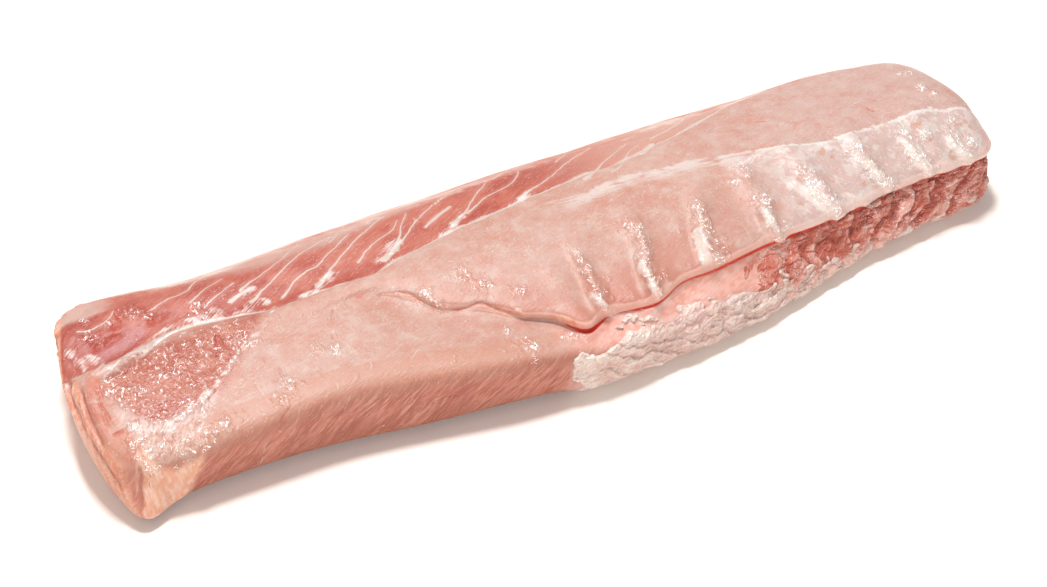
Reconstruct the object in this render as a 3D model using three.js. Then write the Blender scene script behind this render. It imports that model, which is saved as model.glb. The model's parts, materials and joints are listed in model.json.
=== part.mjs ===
// A raw boneless pork loin, lying rib side up as it comes from the butcher.
//
// One piece of meat, so one closed solid. It is a loft: seven lines run along the loin, from the
// cut end on the left (-X) to the rib end on the right (+X), and every cross section is a smooth
// loop hung on them. Rib marks, gristle knots, trimmed fat and torn lean are relief on that skin.
// Millimetres, +Z up, +Y towards the back (spine) side. The flat underside is at z = 0.

import * as THREE from "three";

// ---------------------------------------------------------------- driving dimensions

// The two cut faces. x is the rim's place at the back foot, and all other values are outward:
// `lean` for each mm of height, `skew` for each mm towards the front, `bow` in the middle of the
// plan, `swell` in the middle of the face. `radius` is how softly the rim turns.
const leftFace = { side: -1, x: -228, lean: 0.12, skew: 0.08, bow: 10, swell: 3, radius: 9 };
const rightFace = { side: 1, x: 256, lean: 0, skew: 0.03, bow: 10, swell: 3, radius: 17 };
const faceBackY = 50;
const faceMiddleY = -12;
const faceHalfWidth = 66;
const faceReach = 60; // how far along the loin the sections still follow a face's lean and bow

const leftSpacing = 7.4; // between sections at the left, where the skin is smooth
const rightSpacing = 5; // and from the middle on, where the ribs and the fat are
const rimSteps = 3; // sections that turn each rim
const faceRings = [0.84, 0.62, 0.36]; // share of the section that each ring of a cut face keeps

// Lines that run along the loin. Each knot is [x, y, z].
const lines = {
  foot: [ // lowest bulge of the front side, just off the table
    [-242, -86, 6], [-225, -82, 5], [-204, -71, 5], [-170, -68, 5], [-134, -70, 5], [-92, -76, 5],
    [-40, -81, 5], [0, -86, 6], [50, -84, 6], [90, -79, 6], [146, -64, 6], [196, -51, 5], [267, -43, 5],
  ],
  shoulder: [ // where the front side turns into the top
    [-242, -60, 33], [-224, -63, 33], [-204, -71, 33], [-170, -71, 36], [-130, -70, 38],
    [-92, -75, 37], [-40, -84, 35], [0, -85, 30], [50, -81, 26], [100, -71, 25], [160, -56, 22],
    [220, -48, 21], [267, -42, 22],
  ],
  lip: [ // free edge of the rib flap, which lies over the eye and fades out towards the left
    [-242, -36, 39], [-200, -34, 42], [-160, -27, 44], [-130, -20, 45], [-104, -16, 46], [-84, -18, 46],
    [-70, -32, 45], [-58, -43, 44], [-45, -46, 44], [-30, -60, 42], [-14, -66, 41], [-4, -78, 39],
    [12, -72, 39], [38, -75, 40], [56, -67, 41], [74, -67, 42], [109, -61, 42], [150, -56, 40],
    [195, -48, 38], [240, -46, 38], [267, -42, 36],
  ],
  crown: [ // top of the eye muscle
    [-242, -17, 41], [-180, -14, 44], [-140, -13, 46], [-104, -11, 48], [-84, -11, 49], [-60, -13, 50],
    [40, -10, 54], [130, 2, 57], [220, 4, 57], [250, 3, 55], [267, 2, 51],
  ],
  seam: [ // groove between the eye and the spine muscle
    [-242, -2, 40], [-200, 2, 42], [-170, 3, 44], [-143, -1, 45], [-110, -1, 47], [-83, 0, 48], [-64, 5, 49],
    [-30, 11, 50], [4, 16, 51], [53, 20, 52], [82, 24, 53], [109, 31, 52], [135, 38, 51], [180, 42, 52],
    [240, 37, 50], [267, 31, 46],
  ],
  spine: [ // crest of the spine muscle
    [-242, 28, 42], [-180, 26, 44], [-100, 29, 46], [-20, 36, 47], [60, 42, 46], [130, 48, 45],
    [180, 50, 45], [240, 49, 42], [267, 40, 37],
  ],
  back: [ // where the top turns into the back side
    [-242, 46, 34], [-215, 53, 35], [-170, 49, 34], [-120, 52, 34], [-50, 55, 35], [20, 57, 36],
    [90, 60, 36], [150, 60, 36], [200, 60, 33], [240, 55, 31], [267, 43, 28],
  ],
};

// How far the rib flap stands over the muscle under it, along x.
const lipDepth = [
  [-242, 0], [-106, 0], [-84, 2], [-60, 3], [-30, 4], [0, 6], [40, 5], [110, 6], [200, 7], [267, 5],
];
const fullLipDepth = 6;

// How deep the groove between the two muscles is cut, along x.
const seamDepth = [[-242, 3.4], [-150, 2.6], [-60, 1.8], [60, 1.2], [140, 0.4], [267, 0]];

// The rib marks: where each meets the lip, how far it leans to +x on its way back, its length and height.
const ribs = [
  { x: 9, lean: 10, reach: 58, height: 2.2 },
  { x: 39, lean: 12, reach: 60, height: 2.6 },
  { x: 74, lean: 18, reach: 56, height: 2.6 },
  { x: 113, lean: 4, reach: 54, height: 3.0 },
  { x: 155, lean: -10, reach: 54, height: 3.2 },
  { x: 190, lean: -9, reach: 48, height: 2.8 },
  { x: 217, lean: 2, reach: 46, height: 2.6 },
  { x: 241, lean: 6, reach: 42, height: 2.8 },
];
const ribHalfWidth = 10;

// Gristle knots in the seam, one for each vertebra that was cut away.
const knots = { first: -152, spacing: 40, count: 7, height: 1.6, radius: 10 };

// Trimmed fat on the front side: flaky lumps over the foot, spread by a seeded draw.
const fat = {
  from: -14, to: 205, low: 4, high: 27, count: 90, radius: [5, 10], height: [1, 2.6], stretch: 1.5, seed: 11,
};

// Torn lean under the rib end: hollows and ridges that run aslant.
const torn = { from: 165, to: 262, pitch: 21, slant: 0.9, depth: 1.6 };

const meat = { name: "pork_loin", color: 0xe9b3a2, roughness: 0.38, metalness: 0 };

// ---------------------------------------------------------------- helpers

const mix = (a, b, t) => a + (b - a) * t;
const clamp01 = (t) => Math.min(1, Math.max(0, t));
const smooth = (low, high, v) => {
  const t = clamp01((v - low) / (high - low));
  return t * t * (3 - 2 * t);
};
const bump = (distance, halfWidth) => 1 - smooth(0, halfWidth, Math.abs(distance));

// Value number `column` of a line at x, on a smooth curve through its knots.
function along(line, x, column = 1) {
  let i = 0;
  while (i < line.length - 2 && x > line[i + 1][0]) i += 1;
  const slope = (k) => {
    const before = line[Math.max(0, k - 1)];
    const after = line[Math.min(line.length - 1, k + 1)];
    return (after[column] - before[column]) / (after[0] - before[0]);
  };
  const [a, b] = [line[i], line[i + 1]];
  const span = b[0] - a[0];
  const t = clamp01((x - a[0]) / span);
  const [t2, t3] = [t * t, t * t * t];
  return (
    (2 * t3 - 3 * t2 + 1) * a[column] + (t3 - 2 * t2 + t) * span * slope(i) +
    (3 * t2 - 2 * t3) * b[column] + (t3 - t2) * span * slope(i + 1)
  );
}

const pointOn = (line, x) => ({ y: along(line, x, 1), z: along(line, x, 2) });

// ---------------------------------------------------------------- one cross section

// The loop's corners at x, from under the front edge, over the top and down the back. `steps` is
// the number of mesh edges up to the next corner, and `zone` says what relief the stretch takes.
function corners(x) {
  const foot = pointOn(lines.foot, x);
  const shoulder = pointOn(lines.shoulder, x);
  const lip = pointOn(lines.lip, x);
  const crown = pointOn(lines.crown, x);
  const seam = pointOn(lines.seam, x);
  const spine = pointOn(lines.spine, x);
  const back = pointOn(lines.back, x);
  const depth = along(lipDepth, x);
  const laidFlat = 3 * Math.max(0, 1 - depth / fullLipDepth); // with no step, the tuck lies before the lip
  const tuck = { y: lip.y + 0.8 * depth - laidFlat, z: lip.z - depth };
  return [
    { y: foot.y + 11, z: 0, steps: 2, zone: "front" },
    { y: foot.y, z: foot.z, steps: 3, zone: "front" },
    { y: mix(foot.y, shoulder.y, 0.5) - 1, z: mix(foot.z, shoulder.z, 0.5), steps: 4, zone: "front" },
    { y: shoulder.y, z: shoulder.z, steps: 4, zone: "ledge" },
    { y: mix(shoulder.y, tuck.y, 0.55), z: mix(shoulder.z, tuck.z, 0.62) + 0.6, steps: 3, zone: "ledge" },
    { y: tuck.y, z: tuck.z, steps: 2, zone: "tuck" },
    { y: lip.y, z: lip.z, steps: 4, zone: "top" },
    { y: mix(lip.y, crown.y, 0.35), z: mix(lip.z, crown.z, 0.55), steps: 5, zone: "top" },
    { y: mix(lip.y, crown.y, 0.8), z: crown.z, steps: 4, zone: "top" },
    { y: mix(crown.y, seam.y, 0.55), z: mix(crown.z, seam.z, 0.6) + 0.5, steps: 3, zone: "top" },
    { y: seam.y, z: seam.z - along(seamDepth, x), steps: 4, zone: "top" },
    { y: spine.y, z: spine.z, steps: 4, zone: "back" },
    { y: back.y, z: back.z, steps: 3, zone: "back" },
    { y: back.y + 3, z: mix(back.z, 5, 0.5), steps: 3, zone: "back" },
    { y: back.y - 1, z: 5, steps: 2, zone: "back" },
    { y: back.y - 12, z: 0, steps: 5, zone: "under" },
  ];
}

// A smooth loop through the corners, as { y, z, zone }.
function section(x) {
  const loop = corners(x);
  const curve = new THREE.CatmullRomCurve3(
    loop.map((corner) => new THREE.Vector3(0, corner.y, corner.z)), true, "centripetal",
  );
  return loop.flatMap((corner, i) =>
    Array.from({ length: corner.steps }, (_, k) => {
      const point = curve.getPoint((i + k / corner.steps) / loop.length);
      return { y: point.y, z: Math.max(0, point.z), zone: corner.zone };
    }),
  );
}

// ---------------------------------------------------------------- relief

// Height that the rib marks add to the top at (x, y).
function ribRelief(x, y) {
  const fromLip = y - along(lines.lip, x);
  return ribs.reduce((raised, rib) => {
    const way = clamp01(fromLip / rib.reach);
    const axis = rib.x + rib.lean * way;
    const fade = smooth(-2, 3, fromLip) * (1 - smooth(0.55, 1, way));
    return raised + rib.height * bump(x - axis, ribHalfWidth) * fade;
  }, 0);
}

// Height of the gristle knots along the seam.
function knotRelief(x, y) {
  let raised = 0;
  for (let i = 0; i < knots.count; i += 1) {
    const knotX = knots.first + i * knots.spacing;
    const away = Math.hypot(x - knotX, 1.4 * (y - along(lines.seam, knotX)));
    raised = Math.max(raised, knots.height * bump(away, knots.radius));
  }
  return raised;
}

const draw = THREE.MathUtils.seededRandom;
draw(fat.seed);
const fatLumps = Array.from({ length: fat.count }, () => ({
  x: mix(fat.from, fat.to, draw()),
  z: mix(fat.low, fat.high, draw()),
  radius: mix(...fat.radius, draw()),
  height: mix(...fat.height, draw()),
}));

// How far the front side stands out at (x, z): fat lumps in the middle, torn lean at the rib end.
function sideRelief(x, z) {
  const lumps = fatLumps.reduce((out, lump) => {
    const away = Math.hypot((x - lump.x) / fat.stretch, z - lump.z);
    return Math.max(out, lump.height * bump(away, lump.radius));
  }, 0);
  const inTorn = smooth(torn.from, torn.from + 20, x) * (1 - smooth(torn.to - 10, torn.to, x));
  const wave = Math.sin((2 * Math.PI * (x - z / torn.slant)) / torn.pitch);
  return (lumps + inTorn * torn.depth * wave) * smooth(1, 6, z);
}

// ---------------------------------------------------------------- the solid

// Points of the ring at x, drawn in by `inset` and then to a `keep` share of itself. It follows
// the cut face's lean and bow by `follow`, from 0 to 1.
function ring(x, face, follow, inset = 0, keep = 1) {
  const loop = section(x);
  const middleY = loop.reduce((sum, p) => sum + p.y, 0) / loop.length;
  const middleZ = loop.reduce((sum, p) => sum + p.z, 0) / loop.length;
  return loop.map(({ y, z, zone }) => {
    const radius = Math.hypot(y - middleY, z - middleZ);
    const onSide = zone === "front" || zone === "ledge";
    const out = onSide ? sideRelief(x, z) / radius : 0;
    const raised = zone === "top" ? ribRelief(x, y) + knotRelief(x, y) : 0;
    const share = keep * Math.max(0, 1 - inset / radius) + out * keep;
    const ringY = middleY + (y - middleY) * share;
    const ringZ = middleZ + (z - middleZ) * share + raised * keep;
    const bow = face.bow * (1 - ((ringY - faceMiddleY) / faceHalfWidth) ** 2);
    const shift = follow * (face.lean * ringZ + face.skew * (faceBackY - ringY) + bow);
    return [x + face.side * (shift + face.swell * (1 - keep * keep)), ringY, Math.max(0, ringZ)];
  });
}

// The rings that close one end, from the skin inwards: the turn of the rim, then the cut face.
function endRings(face) {
  const turn = Array.from({ length: rimSteps }, (_, i) => {
    const angle = ((i + 1) / rimSteps) * (Math.PI / 2);
    const x = face.x - face.side * face.radius * (1 - Math.sin(angle));
    return ring(x, face, 1, face.radius * (1 - Math.cos(angle)));
  });
  return [...turn, ...faceRings.map((keep) => ring(face.x, face, 1, face.radius, keep))];
}

function stations() {
  const [start, stop] = [leftFace.x + leftFace.radius, rightFace.x - rightFace.radius];
  const found = [];
  let x = start;
  while (x < stop - rightSpacing / 2) {
    found.push(x);
    x += mix(leftSpacing, rightSpacing, smooth(-110, -20, x));
  }
  return [...found, stop];
}

function loinRings() {
  const body = stations().map((x) => {
    const face = x < 0 ? leftFace : rightFace;
    const follow = 1 - smooth(0, faceReach, Math.abs(x - face.x) - face.radius);
    return ring(x, face, follow);
  });
  return [...endRings(leftFace).reverse(), ...body, ...endRings(rightFace)];
}

function loinGeometry() {
  const rings = loinRings();
  const around = rings[0].length;
  const positions = rings.flat(2);
  const triangles = [];
  for (let r = 0; r < rings.length - 1; r += 1) {
    for (let k = 0; k < around; k += 1) {
      const next = (k + 1) % around;
      const [a, b] = [r * around + k, (r + 1) * around + k];
      const [c, d] = [(r + 1) * around + next, r * around + next];
      triangles.push(a, b, c, a, c, d);
    }
  }

  // Each cut face is closed by a fan round the middle of its last ring.
  const closeWith = (r, outward) => {
    const middle = [0, 1, 2].map((axis) => rings[r].reduce((sum, p) => sum + p[axis], 0) / around);
    const centre = positions.push(...middle) / 3 - 1;
    for (let k = 0; k < around; k += 1) {
      const [a, b] = [r * around + k, r * around + ((k + 1) % around)];
      triangles.push(centre, ...(outward ? [b, a] : [a, b]));
    }
  };
  closeWith(0, false);
  closeWith(rings.length - 1, true);

  const geometry = new THREE.BufferGeometry();
  geometry.setAttribute("position", new THREE.Float32BufferAttribute(positions, 3));
  geometry.setIndex(triangles);
  geometry.computeVertexNormals();
  return geometry;
}

function makeLoin() {
  const material = new THREE.MeshStandardMaterial({
    color: meat.color, roughness: meat.roughness, metalness: meat.metalness,
  });
  const mesh = new THREE.Mesh(loinGeometry(), material);
  mesh.name = meat.name;

  // The origin is on the table, under the middle of the loin.
  mesh.geometry.computeBoundingBox();
  const middle = mesh.geometry.boundingBox.getCenter(new THREE.Vector3());
  mesh.position.set(-middle.x, -middle.y, 0);
  return mesh;
}

const loin = new THREE.Group();
loin.add(makeLoin());

export default loin;
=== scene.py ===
import json
import math

import bpy
import numpy as np
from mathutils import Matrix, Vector

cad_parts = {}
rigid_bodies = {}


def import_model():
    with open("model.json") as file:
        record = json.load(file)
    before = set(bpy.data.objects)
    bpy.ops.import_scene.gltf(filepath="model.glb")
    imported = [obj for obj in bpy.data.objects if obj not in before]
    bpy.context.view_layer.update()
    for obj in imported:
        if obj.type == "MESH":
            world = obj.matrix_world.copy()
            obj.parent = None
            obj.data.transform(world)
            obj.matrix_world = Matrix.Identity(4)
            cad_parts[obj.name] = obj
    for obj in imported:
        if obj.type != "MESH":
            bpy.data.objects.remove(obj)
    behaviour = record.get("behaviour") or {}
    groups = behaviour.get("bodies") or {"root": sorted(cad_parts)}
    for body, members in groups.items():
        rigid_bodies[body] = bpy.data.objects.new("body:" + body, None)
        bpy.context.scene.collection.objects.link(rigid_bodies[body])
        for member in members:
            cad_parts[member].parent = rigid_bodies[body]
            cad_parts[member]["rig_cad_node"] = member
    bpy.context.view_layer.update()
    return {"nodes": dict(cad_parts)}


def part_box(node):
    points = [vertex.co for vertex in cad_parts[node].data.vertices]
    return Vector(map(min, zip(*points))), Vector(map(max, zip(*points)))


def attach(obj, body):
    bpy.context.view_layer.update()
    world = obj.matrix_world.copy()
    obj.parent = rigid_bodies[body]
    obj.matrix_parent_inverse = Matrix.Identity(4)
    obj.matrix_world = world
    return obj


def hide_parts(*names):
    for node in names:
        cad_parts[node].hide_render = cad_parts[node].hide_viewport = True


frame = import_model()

loinLow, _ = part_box("pork_loin")
mm = 0.001

# The loin's own plan is in millimetres, with x along it and y towards the spine. Its zero lies this far in
# from the loin's left end and its front edge.
fromLeftEnd, fromFront = 250.0, 88.8
zero = np.array((loinLow[0] + fromLeftEnd * mm, loinLow[1] + fromFront * mm, 0.0))

# The photograph's camera also finds a place on the loin from its pixel.
view = {
    "azimuth": -26.0, "elevation": 40.0, "distance": 1.3,
    "lens": 85.0, "sensor": 36.0,
    "width": 1047, "height": 587,
}
focal = view["lens"] / view["sensor"] * view["width"]
azimuth, elevation = math.radians(view["azimuth"]), math.radians(view["elevation"])
level = math.cos(elevation)
back = Vector((math.sin(azimuth) * level, -math.cos(azimuth) * level, math.sin(elevation)))
bpy.ops.object.camera_add(location=Vector(zero) + back * view["distance"])
camera = bpy.context.active_object
camera.rotation_euler = back.to_track_quat("Z", "Y").to_euler()
camera.data.lens, camera.data.sensor_width = view["lens"], view["sensor"]
bpy.context.scene.camera = camera
bpy.context.view_layer.update()


def spot(surface, px, py):  # the point of a surface that shows at a pixel, in plan millimetres
    ray = Vector(((px - view["width"] / 2) / focal, (view["height"] / 2 - py) / focal, -1))
    eye = camera.matrix_world
    hit, place, _, _ = surface.ray_cast(eye.translation, (eye.to_3x3() @ ray).normalized())
    return (np.array(place) - zero) / mm if hit else None


def trail(surface, pixels, steps=5):  # a smooth line through pixels, laid on a surface
    knots = np.array([pixels[0], *pixels, pixels[-1]], float)
    places = []
    for k in range(1, len(knots) - 2):
        a, b, c, d = knots[k - 1:k + 3]
        for t in np.linspace(0, 1, steps, endpoint=k == len(knots) - 3):
            px, py = b + 0.5 * t * (c - a + t * (2 * a - 5 * b + 4 * c - d + t * (3 * (b - c) + d - a)))
            places.append(spot(surface, px, py))
    return np.array([p for p in places if p is not None])


def pixelsOf(p, n):  # where points show in the photograph, and which of them face its camera
    turn = np.array(camera.matrix_world.to_3x3())
    seen = (p * mm + zero - np.array(camera.matrix_world.translation)) @ turn
    px = view["width"] / 2 - focal * seen[:, 0] / seen[:, 2]
    py = view["height"] / 2 + focal * seen[:, 1] / seen[:, 2]
    return px, py, n @ turn[:, 2] > 0.02


# Numbers over all points at once, in millimetres.
far = 1e9  # beyond every distance
searched = 14  # how far round a line points are looked at


def smooth(start, end, value):
    t = np.clip((value - start) / (end - start), 0, 1)
    return t * t * (3 - 2 * t)


def hill(distance, width):
    return np.exp(-(distance / width) ** 2)


def through(knots, x, column=1):  # a line's y or z at x, on a smooth curve through its knots
    knots = np.array(knots, float)
    t, v = knots[:, 0], knots[:, column]
    slope = np.gradient(v, t)
    k = np.clip(np.searchsorted(t, x) - 1, 0, len(t) - 2)
    span = t[k + 1] - t[k]
    u = np.clip((x - t[k]) / span, 0, 1)
    u2, u3 = u * u, u * u * u
    return ((2 * u3 - 3 * u2 + 1) * v[k] + (u3 - 2 * u2 + u) * span * slope[k]
            + (3 * u2 - 2 * u3) * v[k + 1] + (u3 - u2) * span * slope[k + 1])


def cloud(points, size, seed, layers=2):  # soft random values from -1 to 1, in lumps of about a size
    total, weight = 0.0, 0.0
    for layer in range(layers):
        spread = points * (2 ** layer / np.asarray(size, float)) + 17.3 * seed + 31.7 * layer
        cell = np.floor(spread)
        part = spread - cell
        part = part * part * (3 - 2 * part)
        value = 0.0
        for corner in np.ndindex(2, 2, 2):
            mixed = np.sin((cell + corner) @ np.array((127.1, 311.7, 74.7))) * 43758.5453
            value = value + np.prod(np.where(corner, part, 1 - part), axis=1) * (mixed - np.floor(mixed))
        total = total + (2 * value - 1) / 2 ** layer
        weight += 1 / 2 ** layer
    return total / weight


def billow(points, size, seed, layers=3):  # rounded lumps, from 0 in the creases to about 1 on top
    return np.clip(sum(np.abs(cloud(points, np.asarray(size, float) / 2 ** k, seed + k, 1)) / 2 ** k
                       for k in range(layers)) * 1.5, 0, 1.2)


def shingles(points, way, pitch, seed):  # layers that rise slowly to a torn edge and drop
    phase = points @ (np.array(way, float) / pitch) + 1.1 * cloud(points, pitch * 1.7, seed, 3)
    part = phase - np.floor(phase)
    return part ** 0.7 * (1 - smooth(0.9, 1, part))


def near(points, normals, line):  # distance from a line, its side, and the way along it from 0 to 1
    best = np.full(len(points), far)
    side, way = np.zeros(len(points)), np.zeros(len(points))
    lengths = np.linalg.norm(np.diff(line, axis=0), axis=1)
    starts = np.concatenate(([0], np.cumsum(lengths)))
    close = np.all((points > line.min(0) - searched) & (points < line.max(0) + searched), axis=1)
    p, n = points[close], normals[close]
    nearest, whichSide, whichWay = best[close], side[close], way[close]
    for k, length in enumerate(lengths):
        if length < 1e-6:
            continue
        forward = (line[k + 1] - line[k]) / length
        along = np.clip((p - line[k]) @ forward, 0, length)
        off = p - line[k] - along[:, None] * forward
        gap = np.linalg.norm(off, axis=1)
        closer = gap < nearest
        across = np.einsum("ij,ij->i", off, np.cross(np.broadcast_to(forward, n.shape), n))
        whichSide[closer] = np.where(across[closer] < 0, -1, 1)
        whichWay[closer] = (starts[k] + along[closer]) / starts[-1]
        nearest = np.minimum(nearest, gap)
    best[close], side[close], way[close] = nearest, whichSide, whichWay
    return best, side, way


def insideOf(x, y, corners):  # distance into a drawn area, negative outside it
    inside = np.zeros(x.shape, bool)
    gap = np.full(x.shape, far)
    for (ax, ay), (bx, by) in zip(corners, corners[1:] + corners[:1]):
        length = math.hypot(bx - ax, by - ay)
        along = np.clip(((x - ax) * (bx - ax) + (y - ay) * (by - ay)) / length, 0, length) / length
        gap = np.minimum(gap, np.hypot(x - ax - along * (bx - ax), y - ay - along * (by - ay)))
        if ay != by:
            inside ^= ((ay > y) != (by > y)) & (x < (bx - ax) * (y - ay) / (by - ay) + ax)
    return np.where(inside, gap, -gap)


# Meshes in and out of numpy.

def pointsOf(obj):
    flat = np.empty(len(obj.data.vertices) * 3)
    obj.data.vertices.foreach_get("co", flat)
    return (flat.reshape(-1, 3) - zero) / mm


def normalsOf(obj):
    flat = np.empty(len(obj.data.vertices) * 3)
    obj.data.vertex_normals.foreach_get("vector", flat)
    return flat.reshape(-1, 3)


def putPoints(obj, points):
    obj.data.vertices.foreach_set("co", (points * mm + zero).ravel())
    obj.data.update()


def note(obj, values):  # numbers for each point, which the material reads by name
    for name, numbers in values.items():
        if name not in obj.data.attributes:
            obj.data.attributes.new(name, "FLOAT", "POINT")
        obj.data.attributes[name].data.foreach_set("value", np.asarray(numbers, np.float32))


def selectOnly(obj):
    bpy.ops.object.select_all(action="DESELECT")
    obj.select_set(True)
    bpy.context.view_layer.objects.active = obj


# The loin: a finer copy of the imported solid.

def copyOfSolid():
    selectOnly(frame["nodes"]["pork_loin"])
    bpy.ops.object.duplicate()
    loin = bpy.context.view_layer.objects.active
    loin.name = loin.data.name = "loin_skin"
    del loin["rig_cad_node"]
    loin.parent = None
    bpy.ops.object.mode_set(mode="EDIT")
    bpy.ops.mesh.select_all(action="SELECT")
    bpy.ops.mesh.remove_doubles(threshold=0.00001)
    bpy.ops.mesh.tris_convert_to_quads(face_threshold=math.pi, shape_threshold=math.pi)
    bpy.ops.object.mode_set(mode="OBJECT")
    finer = loin.modifiers.new("Finer", "SUBSURF")
    finer.levels = finer.render_levels = 2
    bpy.ops.object.modifier_apply(modifier=finer.name)
    bpy.ops.object.shade_smooth()
    return loin


def select(obj, wanted):  # selects the vertices that are wanted, and no others
    for part in (obj.data.edges, obj.data.polygons):
        part.foreach_set("select", np.zeros(len(part), bool))
    obj.data.vertices.foreach_set("select", wanted)


easing = {"factor": 0.5, "rounds": 130, "leastWeight": 0.01}


def easeSlope(loin):  # the meat left of the lip has no edge of its own, and the lip starts gently
    x, y, z = pointsOf(loin).T
    fromLip = np.abs(y - through(course["lip"], x))
    plain = (smooth(-220, -205, x) * smooth(-78, -92, x) * smooth(-46, -38, y)
             * smooth(0, -10, y + 0.1 * (x + 100)))
    start = smooth(-125, -112, x) * smooth(-2, -46, x) * smooth(15, 8, fromLip)
    weights = np.maximum(plain, start) * smooth(32, 36, z)
    group = loin.vertex_groups.new(name="ease")
    for k in np.nonzero(weights > easing["leastWeight"])[0]:
        group.add([int(k)], float(weights[k]), "REPLACE")
    selectOnly(loin)
    ease = loin.modifiers.new("Ease", "SMOOTH")
    ease.factor, ease.iterations, ease.vertex_group = easing["factor"], easing["rounds"], group.name
    bpy.ops.object.modifier_apply(modifier=ease.name)
    loin.vertex_groups.clear()


# Lines that divide the loin on its plan, as (x, y) or (x, y, z). The lip's depth and the fat's top go with x.
course = {
    "seam": [(-250, -2), (-230, -3), (-212, -1), (-195, 5), (-179, 6), (-160, 2), (-143, -3), (-115, -3),
             (-83, -3), (-64, 3), (-47, 7), (-27, 10), (4, 14), (31, 18), (53, 19), (82, 22), (109, 29),
             (135, 38), (155, 45), (200, 64)],
    "lip": [(-112, -12, 46), (-104, -16, 46), (-84, -18, 46), (-70, -32, 45), (-58, -43, 44), (-45, -46, 44),
            (-30, -60, 42), (-14, -66, 41), (-4, -78, 39), (12, -72, 39), (38, -75, 40), (56, -67, 41),
            (74, -67, 42), (109, -61, 42), (150, -56, 40), (195, -48, 38), (240, -46, 38), (270, -42, 36)],
    "lipDepth": [(-112, 0), (-84, 2), (-60, 3), (-30, 4), (0, 6), (40, 5), (110, 6), (200, 7), (270, 5)],
    "shoulder": [(-242, -60, 31), (-224, -68, 31), (-204, -71, 33), (-170, -71, 36), (-130, -70, 38),
                 (-92, -75, 37), (-40, -84, 35), (0, -85, 30), (50, -81, 26), (100, -71, 25), (160, -56, 22),
                 (220, -48, 21), (270, -42, 22)],
    "membrane": [(-10, 9), (12, 6), (34, 3), (46, 5), (64, 6), (80, 2), (102, -1), (123, -7), (141, -11),
                 (165, -16), (196, -16), (235, -16), (256, -19), (272, -22)],
    "fatTop": [(-22, 20), (-14, 26), (4, 26), (26, 30), (48, 29), (78, 27), (94, 25), (110, 22), (139, 17),
               (170, 13), (205, 9), (270, 7)],
}

# Marks seen in the photograph, by pixel. Those with a width have it first, in mm at the start and at the end.
strands = [  # white strands of the spine muscle, from their roots at the seam
    (2.6, 0.7, [(251, 303), (264, 289), (281, 272), (297, 256), (314, 245), (336, 234)]),
    (1.8, 0.5, [(240, 291), (264, 272), (282, 258), (300, 243)]),
    (2.6, 1.6, [(229, 303), (240, 295), (253, 288)]),
    (1.6, 0.7, [(282, 298), (293, 283), (305, 272), (319, 264), (325, 256), (336, 246), (349, 234)]),
    (5.5, 0.8, [(316, 287), (321, 282), (329, 272), (342, 256), (355, 241), (369, 228), (384, 217)]),
    (1.6, 0.6, [(358, 263), (367, 250), (379, 239), (393, 229), (397, 219)]),
    (5, 0.6, [(393, 252), (399, 240), (401, 226), (406, 213)]),
    (5.5, 0.8, [(384, 262), (396, 248), (403, 240), (414, 224), (427, 210), (443, 197)]),
    (1.2, 1.8, [(425, 228), (436, 217), (451, 206)]),
    (6, 0.7, [(452, 226), (459, 219), (467, 210), (476, 194), (485, 183)]),
    (2, 0.7, [(466, 214), (470, 211), (490, 195), (511, 183), (519, 172)]),
    (4.5, 0.7, [(520, 200), (529, 191), (540, 184), (554, 174), (570, 160), (590, 148)]),
    (5, 0.7, [(585, 180), (595, 170), (611, 156), (626, 143)]),
    (1.4, 0.6, [(612, 172), (620, 167), (629, 152), (638, 145)]),
    (5, 2.5, [(640, 155), (648, 147), (653, 143)]),
    (1, 0.7, [(640, 133), (655, 122), (673, 110)]),
    (1.2, 1, [(650, 139), (673, 127), (697, 110), (716, 102)]),
    (1.2, 0.7, [(150, 310), (164, 301), (185, 292), (195, 282), (205, 277)]),
    (1.1, 0.5, [(188, 303), (205, 289), (221, 279)]),
    (1.1, 0.5, [(203, 308), (221, 292), (235, 282)]),
    (1.3, 0.6, [(77, 332), (92, 330), (104, 323), (114, 310)]),
    (0.7, 0.4, [(330, 243), (345, 226), (356, 218)]),
    (0.8, 0.5, [(436, 205), (450, 192), (462, 186)]),
    (0.8, 0.5, [(492, 180), (505, 172), (520, 163)]),
    (0.8, 0.5, [(556, 162), (570, 150), (580, 144)]),
]
threads = [  # fine white threads on the eye muscle and on the cut wall
    [(240, 381), (251, 374), (260, 366)], [(240, 388), (249, 385)],
    [(254, 381), (260, 389), (268, 398), (271, 405)], [(257, 409), (264, 414), (274, 413)],
    [(342, 340), (348, 345), (352, 352)], [(308, 356), (313, 352), (318, 351)],
    [(307, 367), (314, 370), (320, 367)], [(410, 361), (414, 355), (418, 351), (422, 352)],
    [(369, 370), (372, 365), (370, 362)], [(377, 350), (381, 345)], [(411, 337), (418, 338)],
    [(337, 382), (338, 388)],
    [(798, 98), (805, 97), (816, 97), (833, 99), (847, 98), (860, 98), (868, 103)],
    [(843, 88), (847, 86)], [(807, 115), (816, 114)], [(780, 126), (783, 121)],
    [(886, 95), (900, 97), (906, 98)], [(909, 101), (918, 104)], [(151, 497), (156, 489)],
    [(162, 506), (166, 498), (170, 494)], [(300, 405), (296, 425), (290, 440)],
    [(352, 392), (346, 408), (338, 425)], [(506, 326), (505, 331), (510, 336)],
    [(268, 440), (262, 458), (256, 470)], [(757, 160), (778, 168), (795, 191)],
]
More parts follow.
